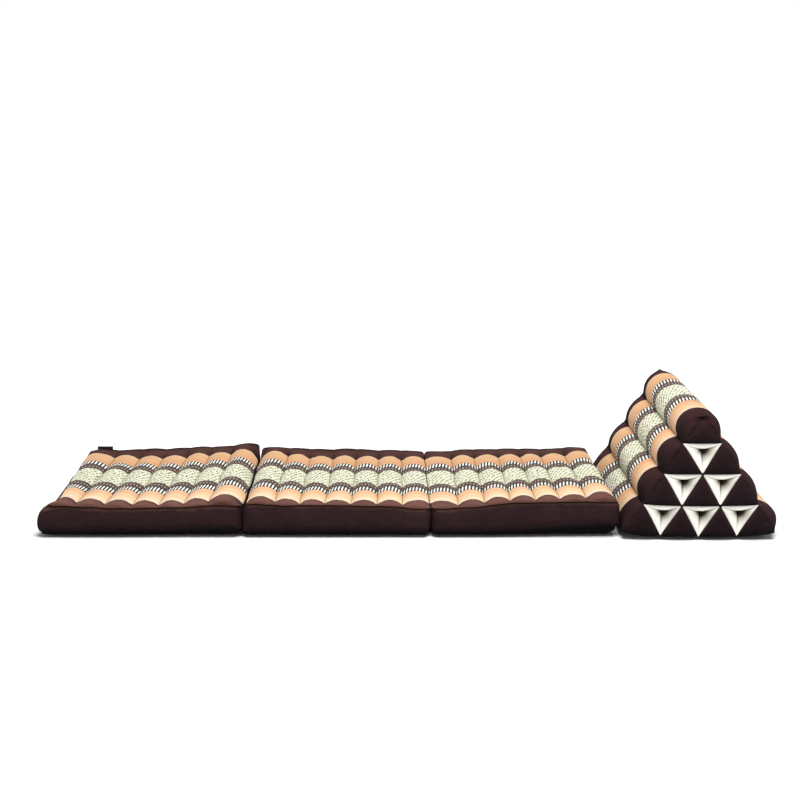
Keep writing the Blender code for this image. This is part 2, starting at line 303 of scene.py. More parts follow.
def colour(code):
    """A hex sRGB colour as linear red, green, blue and alpha."""
    part = np.array([int(code[k : k + 2], 16) for k in (1, 3, 5)]) / 255.0
    linear = np.where(part <= 0.04045, part / 12.92, ((part + 0.055) / 1.055) ** 2.4)
    return (*linear.tolist(), 1.0)


def add(tree, kind, *inputs, out=0, **settings):
    """Adds a node, gives each input its value or link in order, and returns one of its outputs, or all.

    The dictionary among the inputs, if there is one, gives values by the number of the input instead.
    """
    node = tree.nodes.new(kind)
    for name, value in settings.items():
        setattr(node, name, value)
    numbered = list(enumerate(inputs))
    if inputs and isinstance(inputs[-1], dict):
        numbered = list(inputs[-1].items())
    for number, value in numbered:
        if isinstance(value, bpy.types.NodeSocket):
            tree.links.new(value, node.inputs[number])
        else:
            node.inputs[number].default_value = value
    return node.outputs[out]


def cloth_shader(name, roughness, gloss, sheen, sheen_tint):
    """A new material with the plain values of a cloth, ready for its colour and its bump."""
    material = bpy.data.materials.new(name)
    material.use_nodes = True
    shader = material.node_tree.nodes["Principled BSDF"]
    shader.inputs["Roughness"].default_value = roughness
    shader.inputs["IOR"].default_value = 1.5
    shader.inputs["Specular IOR Level"].default_value = gloss
    shader.inputs["Sheen Weight"].default_value = sheen
    shader.inputs["Sheen Roughness"].default_value = 0.5
    shader.inputs["Sheen Tint"].default_value = colour(sheen_tint)
    return material, material.node_tree, shader


# %% [markdown]
# ### The weave
#
# The real threads are about 0.5 mm apart, too fine to show from three metres. They are drawn at 1.6 mm,
# so that a close view shows a weave and a far one a soft grain. Two sine waves that cross make the over
# and under of a plain weave.

# %% Weave
THREAD = 1.6 * MM
WEAVE_DEPTH = 0.25 * MM
WEAVE_STRENGTH = 0.6
# The painted shade of a fold darkens red by its share, and green and blue by these powers of it,
# because its two sides light each other
FOLD_POWERS = (1.0, 1.05, 1.17)


def give_weave(tree, shader, cloth):
    """Raises a plain weave: the product of a sine wave along each of two directions, as bump."""
    waves = []
    for thread in add(tree, SPLIT, cloth, out=ALL)[:2]:
        turns = add(tree, MATH, thread, 2.0 * pi / THREAD, operation="MULTIPLY")
        waves.append(add(tree, MATH, turns, operation="SINE"))
    height = add(tree, MATH, *waves, operation="MULTIPLY")
    bump = add(tree, "ShaderNodeBump", {0: WEAVE_STRENGTH, 1: WEAVE_DEPTH, 3: height})
    tree.links.new(bump, shader.inputs["Normal"])


def give_colour(tree, shader, shade, fold_shade):
    """Sets the base colour, with painted shade: darker and a little warmer where the cloth is folded."""
    fold = add(tree, "ShaderNodeAttribute", attribute_name="fold", out=2)
    left_over = add(tree, MATH, fold, -fold_shade, 1.0, operation="MULTIPLY_ADD")
    parts = [add(tree, MATH, left_over, power, operation="POWER") for power in FOLD_POWERS]
    darker = add(tree, MIX, {0: 1.0, 6: shade, 7: add(tree, JOIN, *parts)}, **TINT)
    tree.links.new(darker, shader.inputs["Base Color"])


# %% [markdown]
# ### Plain cottons
#
# The borders and the sole are dyed brown. Light and shade are painted into their colour by the way the
# cloth faces: nearly black underneath, dark on the walls and a lit, dull reddish brown on top. The pockets
# are undyed cotton, a warm white with painted shade that turns it grey deep in the fold. Both get the
# weave, and a slow change of shade from the dye.

# %% Plain cotton
# Noise spots in a metre: of the dye's slow drift, and of the fibres, which are drawn out along the mat
DRIFT_SCALE = 14.0
FIBRE_SCALE = 420.0
FIBRE_STRETCH = (0.12, 1.0, 1.0)
DRIFT_SPAN = (0.7, 1.3)
# Painted light and shade: from which upward part of the normal to which the cloth counts as above and lit,
# and downwards as below and in shade
ABOVE_END = 0.97
BELOW_START, BELOW_END = -0.05, -0.55
# Where across the mat the near side's painted light on top turns into the far side's
NEAR_FAR_LIGHT_SPAN = (-0.23, 0.15)
# The painted light and shade of a plain cotton: its colour facing down, sideways and up
Faces = namedtuple("Faces", "below sideways above")


def plain_cotton(name, faces, fold_shade, roughness=0.85, gloss=0.06, drift=0.25, fade=(1.0, 1.0),
                 rise=0.3):
    """One-colour cotton: light and shade painted in for below, sideways and above, a drift and drawn-out
    fibres.

    Fade is how strong the painted light above is at the near and at the far side of the mat, and rise is
    how far up the cloth has to face before that painted light begins.
    """
    material, tree, shader = cloth_shader(name, roughness, gloss, sheen=0.05, sheen_tint=faces.above)
    upward = add(tree, SPLIT, add(tree, "ShaderNodeNewGeometry", out=1), out=2)
    place = add(tree, "ShaderNodeTexCoord", out=3)
    across = add(tree, SPLIT, place, out=1)
    above = add(tree, RANGE, upward, rise, ABOVE_END, 0.0, 1.0)
    above = add(tree, MATH, above, add(tree, RANGE, across, *NEAR_FAR_LIGHT_SPAN, *fade), operation="MULTIPLY")
    below = add(tree, RANGE, upward, BELOW_START, BELOW_END, 0.0, 1.0)
    shade = add(tree, MIX, {0: above, 6: colour(faces.sideways), 7: colour(faces.above)}, **BLEND)
    shade = add(tree, MIX, {0: below, 6: shade, 7: colour(faces.below)}, **BLEND)

    slow = add(tree, NOISE, {0: place, 2: DRIFT_SCALE, 3: 4.0})
    drawn = add(tree, STRETCH, {0: place, 3: FIBRE_STRETCH})
    fibre = add(tree, NOISE, {0: drawn, 2: FIBRE_SCALE, 3: 3.0})
    both = add(tree, MATH, slow, fibre, operation="ADD")
    share = add(tree, RANGE, both, *DRIFT_SPAN, 1.0 - drift, 1.0 + drift)
    shade = add(tree, MIX, {0: 1.0, 6: shade, 7: add(tree, JOIN, share, share, share)}, **TINT)
    give_colour(tree, shader, shade, fold_shade)
    give_weave(tree, shader, place)
    print(name, len(tree.nodes), "nodes")
    return material


# Dyed cotton of the pads, with painted light on its tops, brightest at the near side
border_cotton = plain_cotton("brown_cotton_painted_light", Faces("#0d0809", "#27181a", "#6c4a42"), 0.97,
                             fade=(1.0, 0.45), rise=0.5)
# The same cotton on the bolster, with a dimmer painted light on top, least at the near end
brown_cotton = plain_cotton("brown_dyed_cotton", Faces("#0d0809", "#1a1012", "#43292b"), 0.95,
                            fade=(0.6, 1.0), rise=0.1)
# Undyed cotton: matte, with specks of seed coat too fine to show; its light and shade are painted by facing
natural_cotton = plain_cotton("natural_white_cotton", Faces("#dcd8ce", "#e2dfd6", "#eeebe3"), 0.985,
                              gloss=0.2, drift=0.04)
# Satin ribbon: long floats of thread give it a soft shine, and its light and shade are painted by facing
black_satin = plain_cotton("black_satin_ribbon", Faces("#0b0b0c", "#111113", "#19191c"), 0.3,
                           roughness=0.45, gloss=0.5)

# %% [markdown]
# ### The striped cloth
#
# From the middle outwards the cloth has a pale green ground with small olive marks, a brown band with a
# row of dots, a band of white bars on dark, a wide peach band with a cream edge, and the brown border.
# The widths are half widths, measured from the middle of the cloth.
#
# A colour ramp without blending makes the bands. Bars and dots are ovals: the power of the distance
# along them and across them, added together, is less than one inside. The marks are where two sine waves
# that cross are both high, or both low.

# %% Sizes of the stripes
PATTERN_CENTRE = -4.0 * MM
GREEN_HALF = 57.5 * MM
DOTS_OUTER = 92.8 * MM
BARS_OUTER = 126.4 * MM
PEACH_OUTER = 200.5 * MM
CREAM_OUTER = 205.0 * MM
EDGE_LINE_OUTER = 208.0 * MM
RAMP_REACH = 300.0 * MM
BOLSTER_START = 0.490

Band = namedtuple("Band", "start code")
BANDS = (
    Band(0.0, "#e3e3cd"),
    Band(GREEN_HALF, "#453d33"),
    Band(GREEN_HALF + 4.0 * MM, "#53423c"),
    Band(DOTS_OUTER - 4.0 * MM, "#2e3133"),
    Band(BARS_OUTER - 14.0 * MM, "#171311"),
    Band(BARS_OUTER, "#e0b38a"),
    Band(BARS_OUTER + 28.0 * MM, "#e5c29b"),
    Band(PEACH_OUTER - 20.0 * MM, "#ebd0af"),
    Band(PEACH_OUTER, "#f6e4d0"),
    Band(CREAM_OUTER, "#221413"),
    Band(EDGE_LINE_OUTER, "#2d1b1b"),
)

# Ovals that repeat along the cloth: the middle and half length of each across the mat, its half width
# along it
Oval = namedtuple("Oval", "middle half_length half_width power code")
OVAL_PITCH = 8.2 * MM
OVAL_LEAN = 0.09
OVALS = (
    Oval(109.6 * MM, 16.6 * MM, 2.0 * MM, 3.0, "#f6f4ea"),
    Oval(75.5 * MM, 5.0 * MM, 1.7 * MM, 2.0, "#b9a298"),
)

# Small leaning marks in staggered rows: the steps along the cloth and across it, and how far the rows
# stray
MARK_STEP = 11.0 * MM
MARK_ROW = 21.0 * MM
MARK_LEAN = 0.2
MARK_STRAY = 1.3
OLIVES = ("#596039", "#868d5d")
# Between which values the edge of a mark, of an olive patch and of an oval goes from none to full
MARK_EDGE, AGE_EDGE, OVAL_EDGE = (0.2, 0.5), (0.4, 0.6), (0.8, 1.2)
# How many noise spots in a metre: in the stray of the rows, the age of the dye, and the ragged edge of a
# band
STRAY_SCALE = 70.0
AGE_SCALE = 110.0
RAGGED_SCALE = 260.0
RAGGED = 0.8 * MM
# The yarn's drift is long along a thread and short from thread to thread
YARN_STRETCH = (9.0, 420.0, 1.0)
YARN_SPAN = (0.9, 1.05)
# Where across the cloth the far side's painted shade on the peach begins and is full, its tint, and its
# share on the bolster
FAR_START, FAR_END = 0.06, 0.20
FAR_SHADE_TINT = "#ebd4bf"
BOLSTER_SHADE_SHARE = 0.55


# %% Striped cotton
def green_marks(tree, cloth, u, v):
    """The green ground with its marks: the product of a sine wave each way is high in staggered ovals."""
    stray = add(tree, NOISE, {0: cloth, 2: STRAY_SCALE})
    stray = add(tree, RANGE, stray, NOISE_LOW, NOISE_HIGH, -MARK_STRAY, MARK_STRAY)
    across = add(tree, MATH, v, 2.0 * pi / MARK_ROW, stray, operation="MULTIPLY_ADD")
    along = add(tree, MATH, across, MARK_LEAN, stray, operation="MULTIPLY_ADD")
    along = add(tree, MATH, u, 2.0 * pi / MARK_STEP, along, operation="MULTIPLY_ADD")
    waves = [add(tree, MATH, wave, operation="SINE") for wave in (across, along)]
    mark = add(tree, RANGE, add(tree, MATH, *waves, operation="MULTIPLY"), *MARK_EDGE, 0.0, 1.0)
    age = add(tree, RANGE, add(tree, NOISE, {0: cloth, 2: AGE_SCALE}), *AGE_EDGE, 0.0, 1.0)
    olive = add(tree, MIX, {0: age, 6: colour(OLIVES[0]), 7: colour(OLIVES[1])}, **BLEND)
    return add(tree, MIX, {0: mark, 6: colour(BANDS[0].code), 7: olive}, **BLEND)


def striped_material():
    """The woven stripes, read from the piece's own UV map in metres."""
    material, tree, shader = cloth_shader("striped_woven_cotton", roughness=0.82, gloss=0.2, sheen=0.08,
                                          sheen_tint="#ffe9d2")
    cloth = add(tree, "ShaderNodeUVMap", uv_map="cloth")
    u, v, _ = add(tree, SPLIT, cloth, out=ALL)

    # How far each point is from the middle of the cloth, a little ragged from thread to thread
    ragged = add(tree, RANGE, add(tree, NOISE, {0: cloth, 2: RAGGED_SCALE}), 0.0, 1.0, -RAGGED, RAGGED)
    out = add(tree, MATH, add(tree, MATH, v, PATTERN_CENTRE, operation="SUBTRACT"), operation="ABSOLUTE")
    out = add(tree, MATH, out, ragged, operation="ADD")

    ramp = tree.nodes.new("ShaderNodeValToRGB")
    ramp.color_ramp.interpolation = "CONSTANT"
    tree.links.new(add(tree, MATH, out, RAMP_REACH, operation="DIVIDE"), ramp.inputs[0])
    stops = ramp.color_ramp.elements
    while len(stops) < len(BANDS):
        stops.new(1.0)
    for stop, band in zip(stops, BANDS):
        stop.position = band.start / RAMP_REACH
        stop.color = colour(band.code)
    in_green = add(tree, MATH, out, GREEN_HALF, operation="LESS_THAN")
    marks = green_marks(tree, cloth, u, v)
    shade = add(tree, MIX, {0: in_green, 6: ramp.outputs[0], 7: marks}, **BLEND)

    # Bars and dots: each is an oval around the middle of its step along the cloth, and leans a little
    step = add(tree, MATH, v, -OVAL_LEAN, u, operation="MULTIPLY_ADD")
    step = add(tree, MATH, add(tree, MATH, step, OVAL_PITCH, operation="DIVIDE"), operation="FRACT")
    step = add(tree, MATH, step, 0.5, operation="SUBTRACT")
    step = add(tree, MATH, step, OVAL_PITCH, operation="MULTIPLY")
    for oval in OVALS:
        side = add(tree, MATH, step, oval.half_width, operation="DIVIDE")
        side = add(tree, MATH, side, side, operation="MULTIPLY")
        end = add(tree, MATH, out, oval.middle, operation="SUBTRACT")
        end = add(tree, MATH, end, oval.half_length, operation="DIVIDE")
        end = add(tree, MATH, add(tree, MATH, end, operation="ABSOLUTE"), oval.power, operation="POWER")
        reach = add(tree, MATH, side, end, operation="ADD")
        inside = add(tree, RANGE, reach, *OVAL_EDGE, 1.0, 0.0)
        shade = add(tree, MIX, {0: inside, 6: shade, 7: colour(oval.code)}, **BLEND)

    # Painted shade: the peach is darker on the far side of the mat and on the bolster
    far = add(tree, RANGE, v, FAR_START, FAR_END, 0.0, 1.0)
    along = add(tree, SPLIT, add(tree, "ShaderNodeTexCoord", out=3))
    raised = add(tree, RANGE, along, BOLSTER_START - 0.01, BOLSTER_START, 0.0, BOLSTER_SHADE_SHARE)
    peach = add(tree, MATH, out, BARS_OUTER, operation="GREATER_THAN")
    deep = add(tree, MATH, add(tree, MATH, far, raised, operation="MAXIMUM"), peach, operation="MULTIPLY")
    shade = add(tree, MIX, {0: deep, 6: shade, 7: colour(FAR_SHADE_TINT)}, **TINT)

    # The yarn is dyed a little unevenly, so each shade drifts along its threads
    drawn = add(tree, STRETCH, {0: cloth, 3: YARN_STRETCH})
    yarn = add(tree, NOISE, {0: drawn, 2: 1.0, 3: 3.0})
    yarn = add(tree, RANGE, yarn, NOISE_LOW, NOISE_HIGH, *YARN_SPAN)
    shade = add(tree, MIX, {0: 1.0, 6: shade, 7: add(tree, JOIN, yarn, yarn, yarn)}, **TINT)
    give_colour(tree, shader, shade, fold_shade=0.55)
    give_weave(tree, shader, cloth)
    print(material.name, len(BANDS), "bands and", len(OVALS), "rows of ovals,", len(tree.nodes), "nodes")
    return material


striped_cotton = striped_material()

# %% [markdown]
# ## The pads
#
# A pad is a stuffed box whose top is sewn into seven tubes. Its skin is worked out from three numbers:
# the place along the pad, counted in tubes, the place across it from -1 to 1, and the height from -1 on
# the sole to 1 on the top. Each of the six sides is a grid with one of the three held still.
#
# The tables give what differs from tube to tube in the real one: how wide it is, and how high its seam
# and crest stand at the near and the far side, in millimetres.

# %% Pad sizes
# The step along x that puts the middle of the whole object's box at 0
CENTRING = -0.0055
MAT_WIDTH = 0.530
BORDER_BULGE = 0.008
FAR_SKEW = 5.8 * MM
FAR_SCALLOP = 2.0 * MM
# The sole: where its lifted side starts, how it curves up to its seam, and the shallow groove under each
# valley
LIFT_START = 0.25
LOWER_SEAM_HEIGHT = 0.011
LOWER_ROUNDING = 0.045
LOWER_POWER = 2.5
SOLE_GROOVE = 0.004
GROOVE_WIDTH = 0.07
# The tubes: how deep a valley is, how they crown in the middle, and how they run out to the long edges
CHANNEL_DROP = 0.0105
MIDDLE_CROWN = 0.002
EDGE_RUN = 0.045
HUMP_RUN = 0.028
PULL_RUN = 0.05
# The hem rolls over the wall, with a stitched line behind it; each has its place and its half width
HEM = 4.0 * MM
HEM_ROLL = 1.4 * MM
HEM_CREST, HEM_CREST_WIDTH = 2.2 * MM, 1.6 * MM
STITCH_PLACE, STITCH_WIDTH, STITCH_SHARE = 5.5 * MM, 1.5 * MM, 0.7
# How deep a seam is drawn in, and how wide on the wall, on the top and on the sole
SEAM_RECESS = 3.5 * MM
SEAM_WIDTH = 1.8 * MM
TOP_SEAM_WIDTH = 1.2 * MM
SOLE_SEAM_WIDTH = 3.0 * MM
BORDER_LINES = PATTERN_CENTRE + EDGE_LINE_OUTER * np.array([-1.0, 1.0])

# Slow drifts of the whole cloth: the axis, how far, the wavelength, and the seed of its random directions
Drift = namedtuple("Drift", "axis size wavelength seed")
DRIFTS = (
    Drift(0, 1.2 * MM, 0.110, 11),
    Drift(1, 0.8 * MM, 0.130, 12),
    Drift(2, 0.9 * MM, 0.075, 13),
    Drift(1, 0.5 * MM, 0.030, 14),
)
DRIFT_FLOOR = 0.012
DRIFT_RUN = 0.03

Channel = namedtuple("Channel", "width near_seam near_crest far_crest far_seam")
# Near pull is how far the top edge is drawn in towards its near corner, and near bulge how far that corner
# stands out
End = namedtuple("End", "top_x bottom_x bulge height corner near_pull near_bulge",
                 defaults=(0.014, 0.0, 0.0))
# Near skew is how far the near ends of the tubes lie to the left
Pad = namedtuple("Pad", "left right lift near_skew channels")

PADS = {
    "pad_foot": Pad(
        left=End(-0.8380, -0.8400, 0.0060, 0.076, 0.026, 0.024, 0.017),
        right=End(-0.3830, -0.3818, 0.0000, 0.064),
        lift=0.006,
        near_skew=0.0055,
        channels=(
            Channel(71.5, 76, 79, 82, 77),
            Channel(65.6, 72, 77, 78, 78),
            Channel(62.3, 70, 75, 78, 80),
            Channel(60.8, 70, 72, 79, 81),
            Channel(60.8, 72, 72, 85, 85),
            Channel(58.8, 75, 76, 88, 87),
            Channel(75.1, 77, 86, 97, 94),
        ),
    ),
    "pad_middle": Pad(
        left=End(-0.3778, -0.3796, 0.0000, 0.064),
        right=End(0.0551, 0.0520, 0.0000, 0.0645),
        lift=0.0,
        near_skew=0.0,
        channels=(
            Channel(68.4, 80, 83, 90, 84),
            Channel(58.0, 77, 77, 81, 82),
            Channel(60.4, 77, 75, 76, 79),
            Channel(60.3, 76, 75, 78, 80),
            Channel(60.4, 76, 75, 76, 77),
            Channel(59.4, 75, 74, 76, 76),
            Channel(65.8, 69, 72, 75, 74),
        ),
    ),
    "pad_head": Pad(
        left=End(0.0559, 0.0590, 0.0000, 0.0645),
        right=End(0.4895, 0.4880, 0.0030, 0.080),
        lift=0.015,
        near_skew=0.0,
        channels=(
            Channel(66.0, 69, 71, 75, 73),
            Channel(61.2, 74, 75, 79, 78),
            Channel(62.2, 79, 81, 79, 79),
            Channel(57.7, 84, 86, 80, 80),
            Channel(57.2, 84, 88, 82, 81),
            Channel(62.4, 86, 89, 83, 80),
            Channel(69.4, 85, 94, 88, 83),
        ),
    ),
}


# %% The tubes of a pad
def column(pad, name):
    """One column of a pad's table, in metres."""
    return np.array([getattr(channel, name) for channel in pad.channels]) * MM


def along_channels(pad, name, place):
    """A column of the table read at any place along the pad, joining the middles of the tubes smoothly."""
    values = column(pad, name)
    position = np.clip(place - 0.5, 0.0, len(values) - 1.0)
    index = np.minimum(position.astype(int), len(values) - 2)
    return mix(values[index], values[index + 1], smooth_step(position - index))


def tubes(pad, place, far_share):
    """Height of the tubes away from the seams, and how near each place is to the crest of its tube."""
    count = len(pad.channels)
    near, far = column(pad, "near_crest"), column(pad, "far_crest")
    index = np.clip(place.astype(int), 0, count - 1)

    def crest(k):
        k = np.clip(k, 0, count - 1)
        return mix(near[k], far[k], far_share)

    def valley(k):
        between = 0.5 * (crest(k - 1) + crest(k)) - CHANNEL_DROP
        return np.where(k == 0, pad.left.height, np.where(k == count, pad.right.height, between))

    share = place - index
    line = mix(valley(index), valley(index + 1), share)
    middle = 0.5 * (valley(index) + valley(index + 1))
    rise = crest(index) + MIDDLE_CROWN * arch(far_share) - middle
    return line + rise * arch(share), arch(share)


# %% The surface of a pad
def uneven(points):
    """The lay of real cloth: slow drifts of a millimetre or less, fading to none at the floor."""
    free = smooth_step((points[..., 2] - DRIFT_FLOOR) / DRIFT_RUN)
    for drift in DRIFTS:
        points[..., drift.axis] += drift.size * wander(points, drift.wavelength, drift.seed) * free
    return points


def pad_points(pad, place, across, up):
    """Carries box coordinates to points of the stuffed pad.

    In plan a place is a share of the run from the left end to the right one. Its height is a share of
    the way from the sole to the top, each of which is a seam height, a rise away from the edges, and the
    hem or the groove.
    """
    place, across, up = (array.astype(float) for array in np.broadcast_arrays(place, across, up))
    count = len(pad.channels)
    far_share = 0.5 + 0.5 * across
    height = 0.5 + 0.5 * up
    widths = column(pad, "width")
    joints = np.concatenate([[0.0], np.cumsum(widths)]) / widths.sum()
    run = np.interp(place, np.arange(count + 1), joints)
    inside = np.clip(np.minimum(place, count - place), 0.0, 1.0)
    left = mix(pad.left.bottom_x, pad.left.top_x, height) + CENTRING
    right = mix(pad.right.bottom_x, pad.right.top_x, height) + CENTRING
    y = 0.5 * MAT_WIDTH * across
    edge = 0.5 * MAT_WIDTH - np.abs(y)
    lean = FAR_SKEW * far_share - pad.near_skew * (1.0 - far_share)
    pull = pad.left.near_pull * (1.0 - far_share) * smooth_step(edge / PULL_RUN) * height
    near_corner = pad.left.near_bulge * (1.0 - far_share) ** 6 * (1.0 - height**4)
    left = left - near_corner
    x = mix(left, right, run) + lean * inside + pull * np.clip(1.0 - place, 0.0, 1.0)
    left = left + pull
    end = np.minimum(x - left, right - x)
    inward = np.minimum(edge, end)

    # In plan each corner is a square carried to a quarter of a disc, whose radius also points outwards
    radius = mix(pad.left.corner, pad.right.corner, run)
    u = np.clip(1.0 - end / radius, 0.0, 1.0)
    v = np.clip(1.0 - edge / radius, 0.0, 1.0)
    side_x = np.where(x - left < right - x, -1.0, 1.0)
    side_y = np.sign(across)
    out_x, out_y = u * np.sqrt(1.0 - 0.5 * v * v), v * np.sqrt(1.0 - 0.5 * u * u)
    x = x + side_x * radius * (out_x - u)
    y = y + side_y * radius * (out_y - v)

    # Height of the sole, which curves up to its seam, and of the top with its tubes, hem and stitched line
    lift = pad.lift * smooth_step((place / count - LIFT_START) / (1.0 - LIFT_START))
    rounding = np.clip(1.0 - inward / LOWER_ROUNDING, 0.0, 1.0) ** LOWER_POWER
    groove = SOLE_GROOVE * ridge(from_whole(place), GROOVE_WIDTH)
    sole = np.maximum((LOWER_SEAM_HEIGHT + lift) * rounding, groove)
    seam = mix(along_channels(pad, "near_seam", place), along_channels(pad, "far_seam", place), far_share)
    tube, crest = tubes(pad, place, far_share)
    seam = seam + FAR_SCALLOP * far_share * crest
    risen = mix(smooth_step(edge / EDGE_RUN), quarter_round((edge - HEM) / HUMP_RUN), crest)
    top = mix(seam, tube, risen)
    hem_rise = ridge(inward - HEM_CREST, HEM_CREST_WIDTH)
    top = top + HEM_ROLL * (hem_rise - STITCH_SHARE * ridge(inward - STITCH_PLACE, STITCH_WIDTH))
    z = mix(sole, top, height)

    # The walls swell between their two seams, each seam is drawn in, and the hem rolls out over the
    # upper one. An end that is joined to the next pad has no swell, and stays upright.
    end_bulge = np.where(side_x < 0, pad.left.bulge, pad.right.bulge)
    bulge = BORDER_BULGE * out_y**2 + end_bulge * out_x**2
    from_seam = np.minimum(1.0 - height, height) * (top - sole)
    wall = bulge * (1.0 - np.abs(up) ** 3) - SEAM_RECESS * ridge(from_seam, SEAM_WIDTH)
    roll = HEM_ROLL * (inward / HEM) * np.exp(1.0 - inward / HEM)
    hem = roll - SEAM_RECESS * ridge(inward, TOP_SEAM_WIDTH)
    shift = np.where(up == 1, hem, np.where(up == -1, -SEAM_RECESS * ridge(inward, SOLE_SEAM_WIDTH), wall))
    x = x + side_x * out_x * np.where(end_bulge > 0, shift, 0.0)
    y = y + side_y * out_y * shift
    return uneven(np.stack([x, y, z], axis=-1))


# %% The skin of a pad
FACES_PER_CHANNEL = 16
EDGE_STEPS = 16
MIDDLE_STEPS = 110
WALL_STEPS = 18
HEM_STATIONS = np.array([0.3, 0.8, 1.4, 2.2, 3.2, 4.5, 6.0]) * MM
NARROWEST_STEP = 0.002
LINE_GAP = 0.004
# Painted shade in the folds: half widths at the valleys, at the hem and at the wall's two seams, and how
# strong it is where the valleys cross the border, on the flat border beside the hem, and under the sole
TUBE_WIDTH = 62.0 * MM
VALLEY_SHADE = 1.2 * MM
HEM_SHADE = 2.6 * MM
SEAM_SHADE = 4.5 * MM
BOTTOM_SHADE = 7.0 * MM
WALL_HALF_HEIGHT = 0.035
BORDER_VALLEY = 0.25
HEM_SIDE, HEM_SIDE_RUN = 0.55, 0.024
SOLE_FOLD = 0.8
STRIPE_FADE = 8.0 * MM


def place_stations(pad):
    """Places along the pad in tubes, close together at each valley and closest at the two ends."""
    count = len(pad.channels)
    turn = 0.5 - 0.5 * np.cos(np.linspace(0.0, pi, FACES_PER_CHANNEL + 1))
    places = (np.arange(count)[:, None] + turn[None, :-1]).ravel()
    widths = column(pad, "width")
    extra = [HEM_STATIONS / widths[0], count - HEM_STATIONS / widths[-1], [float(count)]]
    places = np.sort(np.concatenate([places, *extra]))
    keep = np.concatenate([[True], np.diff(places) > NARROWEST_STEP])
    return places[keep]


def across_stations():
    """Places across the mat from -1 to 1, close together near the two long seams."""
    edge = HUMP_RUN * (1.0 - np.cos(np.linspace(0.0, 0.5 * pi, EDGE_STEPS))) + 1e-9
    edge = 1.0 - edge / (0.5 * MAT_WIDTH)
    edge[0] = 1.0
    return stations(edge, MIDDLE_STEPS, BORDER_LINES / (0.5 * MAT_WIDTH), LINE_GAP)


def build_pad(name, pad):
    """Welds six sides into one pad: the stripes are slot 0, and the borders, walls and sole are slot 1."""
    count = len(pad.channels)
    place = place_stations(pad)
    across, lines = across_stations()
    up = np.sin(np.linspace(-0.5 * pi, 0.5 * pi, WALL_STEPS + 1))
    up[[0, -1]] = (-1.0, 1.0)

    # The cloth's length along the pad is measured over the humps, on the middle line
    crest = pad_points(pad, place, np.zeros(1), np.ones(1))
    length = run_length(crest)
    to_valley = from_whole(place) * TUBE_WIDTH

    rows, columns = place[:, None], across[None, :]
    top = pad_points(pad, rows, columns, 1.0)
    u = np.broadcast_to(length[:, None], top.shape[:2])
    v = np.broadcast_to(0.5 * MAT_WIDTH * across[None, :], top.shape[:2])
    # Painted shade along the hem and on the flat border beside it, and down each valley, weaker on the
    # border
    to_seam = 0.5 * MAT_WIDTH * (1.0 - np.abs(across))
    beside = HEM_SIDE * (1.0 - smooth_step(to_seam / HEM_SIDE_RUN))
    seam_fold = np.maximum(ridge(to_seam, HEM_SHADE), beside)
    from_centre = np.abs(v[:1] - PATTERN_CENTRE)
    on_stripes = smooth_step((CREAM_OUTER + 0.5 * STRIPE_FADE - from_centre) / STRIPE_FADE)
    valley = ridge(to_valley, VALLEY_SHADE)[:, None] * mix(BORDER_VALLEY, 1.0, on_stripes)
    fold = np.maximum(valley, seam_fold[None, :])
    patches = bordered(top, np.stack([u, v], axis=-1), fold, lines)

    sole = pad_points(pad, rows, columns, -1.0)
    # The sole is painted in shade all over
    patches.append(grid_patch(sole, sole[..., :2], 1, SOLE_FOLD))
    to_top, to_bottom = WALL_HALF_HEIGHT * (1.0 - up), WALL_HALF_HEIGHT * (1.0 + up)
    # Painted shade along the wall's top seam and at its foot
    seam_and_foot_shade = np.maximum(ridge(to_top, SEAM_SHADE), ridge(to_bottom, BOTTOM_SHADE))
    walls = ((rows, -1.0), (rows, 1.0), (0.0, across[:, None]), (float(count), across[:, None]))
    for along, sideways in walls:
        points = pad_points(pad, along, sideways, up[None, :])
        uv = np.stack([points[..., 0] + points[..., 1], points[..., 2]], axis=-1)
        patches.append(grid_patch(points, uv, 1, seam_and_foot_shade))
    piece = sewn("dressed_" + name, patches, [striped_cotton, border_cotton])
    stuff(piece)
    stand_for(piece, name)


for name, pad in PADS.items():
    build_pad(name, pad)

# %% [markdown]
# ## The bolster
#
# The bolster's end is a lattice: ten upright triangles, one for each tube, with six hanging triangles
# between them. Its walls run from one end to the other. Every lattice point is named by its row, from 0
# at the apex to 4 at the base, and its offset from the middle in cells, so the same two numbers serve
# the walls, the ends and the pockets.

# %% Bolster sizes
BOLSTER_CENTRE_X = 0.6765 + CENTRING
BOLSTER_SKEW = 0.0055
BOLSTER_END_Y = 0.281
ROWS = 4
CELL_WIDTH = 0.0880
SLOPE_LEAN = 0.0730
CROWN_RADIUS = 0.0505
CROWN_BASE_RADIUS = 0.0462
CROWN_CENTRE_DROP = 0.0480
CROWN_HALF_ARC = 1.879
CROWN_TILT = 0.0020
NEAR_ROUNDING = 0.050
FAR_ROUNDING = 0.065
END_TURN = radians(25.0)
SOLE_ROUNDING = 0.060
# How far the end of a tube stands out, row by row, how much of that is left at its outer rim, and over
# what run
CELL_DOMES = np.array([0.012, 0.009, 0.009, 0.009])
RIM_SHARE = 0.3
DOME_RUN = 0.04
# The gathered pinch under the near apex: its depth, the side it lies to, its height, how its two wings
# droop, and its half widths
TUCK_DEPTH = 0.010
TUCK_ASIDE = 0.003
TUCK_HEIGHT = 0.2875
TUCK_DROOP = 0.25
TUCK_WIDTH, TUCK_RISE, TUCK_REACH = 0.018, 0.005, 0.02
LATTICE_STEPS = 24
GRID_STEPS = ROWS * LATTICE_STEPS

# From the apex to the base: height of each lattice row, and how far the near end's sewing pulls it in x
ROW_HEIGHTS = np.array([0.2952, 0.2297, 0.1570, 0.0819, 0.0084])
ROW_PULLS = np.array([0.0, -0.0012, 0.0030, 0.0030, 0.0])
